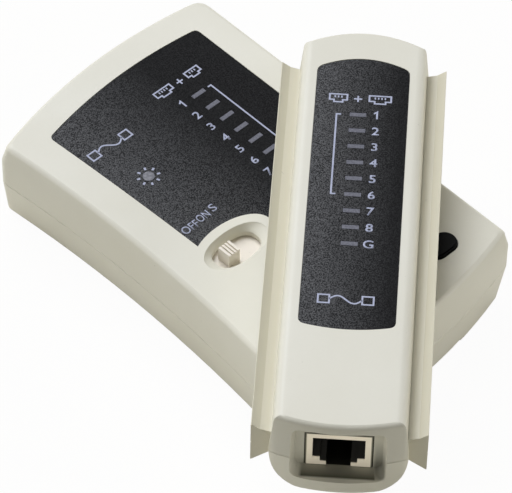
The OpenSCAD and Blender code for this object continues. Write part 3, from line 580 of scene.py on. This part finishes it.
def dress_nodes():
    """Gives every CAD node its finish and smooth shading across its facets."""
    for part in frame["record"]["subparts"]:
        piece = nodes[part["node"]]
        finish = NODE_FINISH.get(part["node"]) or FINISH[part["material_slot"]]
        piece.data.materials.clear()
        piece.data.materials.append(finish)
        weld = piece.modifiers.new("weld", "WELD")
        weld.merge_threshold = WELD
        split = piece.modifiers.new("crease", "EDGE_SPLIT")
        split.split_angle = CREASE
        even = piece.modifiers.new("even", "WEIGHTED_NORMAL")
        even.weight = EVEN_WEIGHT


# Pieces beside the CAD nodes
def add_piece(name, mesh, body, material):
    """Links a piece that rides on a body."""
    piece = bpy.data.objects.new(name, mesh)
    bpy.context.scene.collection.objects.link(piece)
    mesh.materials.append(material)
    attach(piece, body)


def add_print(name, mesh, body):
    """Links a printed piece."""
    add_piece(name, mesh, body, print_mat)


def tube(work, rings, closed):
    """Joins rings of points into a tube, capped unless it closes on itself."""
    for here, there in zip(rings, rings[1:] + rings[:1] if closed else rings[1:]):
        count = len(here)
        for k in range(count):
            n = (k + 1) % count
            work.faces.new((here[k], here[n], there[n], there[k]))
    if not closed:
        work.faces.new(rings[0][::-1])
        work.faces.new(rings[-1])


def outward_mesh(work, name):
    """The mesh of a bmesh, its faces turned outwards."""
    bmesh.ops.recalc_face_normals(work, faces=work.faces)
    mesh = bpy.data.meshes.new(name)
    work.to_mesh(mesh)
    work.free()
    return mesh


def add_rail_feet():
    """The foot of each rail, a low slope from the body of the remote out to the rail's steeper side."""
    place = REMOTE_FACE.copy()
    place.translation.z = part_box("remote_top_shell")[1][2]
    work = bmesh.new()
    for way in (-1, 1):
        rings = []
        for y in RAIL_ENDS:
            section = [Vector((way * x, y, z)) * MM for x, z in RAIL_FOOT]
            rings.append([work.verts.new(place @ point) for point in section])
        tube(work, rings, closed=False)
    add_piece("rail_feet", outward_mesh(work, "rail_feet"), "remote", remote_mat)


# Printing
def ribbon_edges(points, closed, line):
    """Both edges of a line of the given width through points, mitred at its bends."""
    points = [Vector(p) for p in points]
    count = len(points)
    edges = []
    for k, point in enumerate(points):
        before = points[k - 1] if closed or k else None
        after = points[(k + 1) % count] if closed or k < count - 1 else None
        ways = [(point - before).normalized()] if before is not None else []
        ways += [(after - point).normalized()] if after is not None else []
        sides = [Vector((-way.y, way.x)) for way in ways]
        side = sum(sides, Vector((0.0, 0.0))).normalized()
        reach = side * line / 2 / side.dot(sides[0])
        edges.append((point + reach, point - reach))
    return edges


def flat_lines(lines, place):
    """A thin mesh of printed lines on a face; a line has its points, whether it is closed, its width."""
    work = bmesh.new()
    for points, closed, line in lines:
        rings = []
        for left, right in ribbon_edges(points, closed, line):
            corners = ((left, 0.0), (left, PRINT_T), (right, PRINT_T), (right, 0.0))
            rings.append([work.verts.new(place @ Vector((*(at * MM), up))) for at, up in corners])
        tube(work, rings, closed)
    return outward_mesh(work, "print")


def glyphs(text, height, centre, weight, stretch, width=None):
    """A line of text as a flat mesh, its capitals height millimetres tall, width wide if given."""
    curve = bpy.data.curves.new("text", "FONT")
    curve.body = text
    curve.align_x = "CENTER"
    curve.resolution_u = FONT_STEPS
    curve.offset = weight
    holder = bpy.data.objects.new("text", curve)
    bpy.context.scene.collection.objects.link(holder)
    bpy.context.view_layer.update()
    shown = holder.evaluated_get(bpy.context.evaluated_depsgraph_get())
    mesh = bpy.data.meshes.new_from_object(shown)
    bpy.data.objects.remove(holder)
    xs = [v.co.x for v in mesh.vertices]
    ys = [v.co.y for v in mesh.vertices]
    up = height / (max(ys) - min(ys))
    along = width / (max(xs) - min(xs)) if width else up * stretch
    mid_x = (max(xs) + min(xs)) / 2
    mid_y = (max(ys) + min(ys)) / 2
    for v in mesh.vertices:
        x = (v.co.x - mid_x) * along + centre[0]
        y = (v.co.y - mid_y) * up + centre[1]
        v.co = Vector((x, y, 0.0)) * MM
    return mesh


def text_piece(name, lines, place, body):
    """One raised print from lines of text, each the arguments of glyphs."""
    work = bmesh.new()
    for line in lines:
        mesh = glyphs(*line)
        mesh.transform(place)
        work.from_mesh(mesh)
        bpy.data.meshes.remove(mesh)
    raised = bmesh.ops.extrude_face_region(work, geom=work.faces[:], use_keep_orig=True)["geom"]
    tops = [item for item in raised if isinstance(item, bmesh.types.BMVert)]
    bmesh.ops.translate(work, verts=tops, vec=UP * PRINT_T)
    add_print(name, outward_mesh(work, name), body)


def path(points, closed=False, line=PRINT_LINE):
    """One printed line through points."""
    return [(points, closed, line)]


def bracket(x, first_y, tick):
    """A printed bracket beside the first lamps, its ticks towards them."""
    last_y = first_y - (BRACKET_LEDS - 1) * LED_PITCH
    return path([(x + tick, first_y), (x, first_y), (x, last_y), (x + tick, last_y)])


def rays(centre):
    """Printed rays round a lamp."""
    lines = []
    for k in range(RAY_COUNT):
        turn = 2 * math.pi * (k + 0.5) / RAY_COUNT
        out = Vector((math.cos(turn), math.sin(turn)))
        lines += path([Vector(centre) + out * reach for reach in RAY_SPAN], line=RAY_LINE)
    return lines


def socket_sign(x, y, width, pins):
    """A small drawing of a modular socket with its row of contacts."""
    half, tab = width / 2, width / 4
    step = y - SOCKET_H * SOCKET_STEP
    low, high = y - SOCKET_H / 2, y + SOCKET_H / 2
    lines = path([(x - half, high), (x - half, step), (x - tab, step), (x - tab, low), (x + tab, low),
                  (x + tab, step), (x + half, step), (x + half, high)], True)
    for k in range(pins):
        pin_x = x + (k - (pins - 1) / 2) * PIN_PITCH
        lines += path([(pin_x, high - drop) for drop in PIN_SPAN], line=PIN_LINE)
    return lines


def plus_sign(x, y):
    """A printed plus."""
    lines = path([(x - PLUS_HALF, y), (x + PLUS_HALF, y)])
    for way in (-1, 1):
        lines += path([(x, y + way * PRINT_LINE / 2), (x, y + way * PLUS_HALF)])
    return lines


def plug_sign(x, y, way):
    """A small drawing of a cable's plug; way is the side that it points to."""
    tip = x + way * PLUG_L
    low, high = y - PLUG_W / 2, y + PLUG_W / 2
    return path([(x, low), (tip, low), (tip, high), (x, high)], True)


def cable_sign(x, y):
    """A cable with a plug at each end."""
    reach = CABLE_HALF - PLUG_L
    wave = []
    for k in range(CABLE_STEPS + 1):
        share = k / CABLE_STEPS
        wave.append((x + (share - 0.5) * 2 * reach, y + CABLE_SWING * math.sin(share * 2 * math.pi)))
    return plug_sign(x - reach, y, -1) + plug_sign(x + reach, y, 1) + path(wave)


def one_sign(x, y):
    """A figure one with its flag, which the font's own lacks."""
    flag_x, flag_up = ONE_FLAG
    top, foot = y + ONE_H / 2, y - ONE_H / 2
    return path([(x + flag_x, y + flag_up * ONE_H), (x + ONE_STEM, top), (x + ONE_STEM, foot)])


def lamp_marks(led, mark_x):
    """The marks beside a lamp column, apart from the first, which is drawn as a sign."""
    return [(mark, MARK_H, (led[0] + mark_x, led[1] - k * LED_PITCH), MARK_WEIGHT, MARK_STRETCH)
            for k, mark in enumerate(LED_MARKS) if k]


def label_signs(signs, led, mark_x):
    """The printed lines that both labels have."""
    lines = bracket(*signs["bracket"]) + plus_sign(*signs["plus"]) + cable_sign(*signs["cable"])
    lines += socket_sign(*signs["wide"], *WIDE_SOCKET) + socket_sign(*signs["narrow"], *NARROW_SOCKET)
    return lines + one_sign(led[0] + mark_x, led[1])


def print_labels():
    """All printing on both labels."""
    text_piece("master_numbers", lamp_marks(MASTER_LED, MASTER_MARK_X), MASTER_FACE, "master")
    text_piece("remote_numbers", lamp_marks(REMOTE_LED, REMOTE_MARK_X), REMOTE_FACE, "remote")
    words = [(word, WORD_H, centre, WORD_WEIGHT, 1.0, width) for word, centre, width in SWITCH_WORDS]
    text_piece("switch_words", words, MASTER_FACE, "master")
    master_lines = label_signs(MASTER_SIGNS, MASTER_LED, MASTER_MARK_X) + rays(POWER_LED)
    add_print("master_signs", flat_lines(master_lines, MASTER_FACE), "master")
    remote_lines = label_signs(REMOTE_SIGNS, REMOTE_LED, REMOTE_MARK_X)
    add_print("remote_signs", flat_lines(remote_lines, REMOTE_FACE), "remote")


# Studio
def place_camera():
    """The camera at the photograph's angle, distance and lens."""
    level = Vector((math.sin(AZIMUTH), math.cos(AZIMUTH), 0.0))
    ahead = level * math.cos(ELEVATION) - UP * math.sin(ELEVATION)
    right = level.cross(UP)
    up = right.cross(ahead)
    side = right * math.cos(ROLL) + up * math.sin(ROLL)
    top = up * math.cos(ROLL) - right * math.sin(ROLL)
    data = bpy.data.cameras.new("camera")
    data.sensor_fit = "HORIZONTAL"
    data.sensor_width = SENSOR
    data.lens = LENS
    data.clip_end = FAR_CLIP
    camera = bpy.data.objects.new("camera", data)
    bpy.context.scene.collection.objects.link(camera)
    turn = Matrix((side, top, -ahead)).transposed().to_4x4()
    camera.matrix_world = Matrix.Translation(AIM - ahead * DISTANCE) @ turn
    bpy.context.scene.camera = camera


def area_light(name, place, size, power, colour):
    """A square soft light that faces the object."""
    data = bpy.data.lights.new(name, "AREA")
    data.size = size
    data.energy = power
    data.color = colour
    lamp = bpy.data.objects.new(name, data)
    lamp.location = place
    lamp.rotation_euler = (AIM - Vector(place)).to_track_quat("-Z", "Y").to_euler()
    bpy.context.scene.collection.objects.link(lamp)
    return lamp


def light_only(lamp, pieces):
    """Keeps a lamp's light to some pieces."""
    receivers = bpy.data.collections.new(lamp.name + "_receivers")
    for piece in pieces:
        receivers.objects.link(piece)
    lamp.light_linking.receiver_collection = receivers


def seen_white(tree):
    """How far a ray sees a white background: wholly, unless it is a reflection."""
    kinds = tree.nodes.new("ShaderNodeLightPath").outputs
    straight = arithmetic(tree, "MAXIMUM", kinds["Is Camera Ray"], kinds["Is Transmission Ray"])
    mirrored = arithmetic(tree, "MULTIPLY", kinds["Is Glossy Ray"], MIRRORED_WHITE)
    return arithmetic(tree, "MAXIMUM", straight, mirrored)


def build_world():
    """Soft grey light all round, white where it is seen."""
    world = bpy.data.worlds.new("studio")
    world.use_nodes = True
    bpy.context.scene.world = world
    tree = world.node_tree
    colour = mix(tree, seen_white(tree), WORLD_GREY, WHITE)
    tree.links.new(colour, tree.nodes["Background"].inputs["Color"])


def build_floor():
    """A white floor that keeps a soft shadow."""
    mesh = bpy.data.meshes.new("floor")
    signs = ((-1, -1), (1, -1), (1, 1), (-1, 1))
    corners = [(x * FLOOR_HALF, y * FLOOR_HALF, FLOOR_Z) for x, y in signs]
    mesh.from_pydata(corners, [], [(0, 1, 2, 3)])
    material, tree, shader = new_material("floor_white")
    shader.inputs["Base Color"].default_value = (*FLOOR_TINT, 1.0)
    shader.inputs["Roughness"].default_value = FLOOR_ROUGH
    glow = add_node(tree, "ShaderNodeEmission", Color=(*WHITE, 1.0), Strength=1.0)
    blend = tree.nodes.new("ShaderNodeMixShader")
    share = arithmetic(tree, "MULTIPLY", seen_white(tree), FLOOR_WHITE)
    for socket, source in zip(blend.inputs, (share, shader.outputs[0], glow.outputs[0])):
        tree.links.new(source, socket)
    tree.links.new(blend.outputs[0], tree.nodes["Material Output"].inputs["Surface"])
    mesh.materials.append(material)
    floor = bpy.data.objects.new("floor", mesh)
    bpy.context.scene.collection.objects.link(floor)


def light_studio():
    """Key from above and behind, low weak lights on both sides, and one in front for the jacks alone."""
    lamps = {name: area_light(name, *values) for name, values in LIGHTS.items()}
    light_only(lamps["front"], [nodes[name] for name in JACK_MOUNTS])
    bpy.context.scene.view_settings.view_transform = "Standard"


dress_nodes()
add_rail_feet()
print_labels()
place_camera()
build_world()
build_floor()
light_studio()
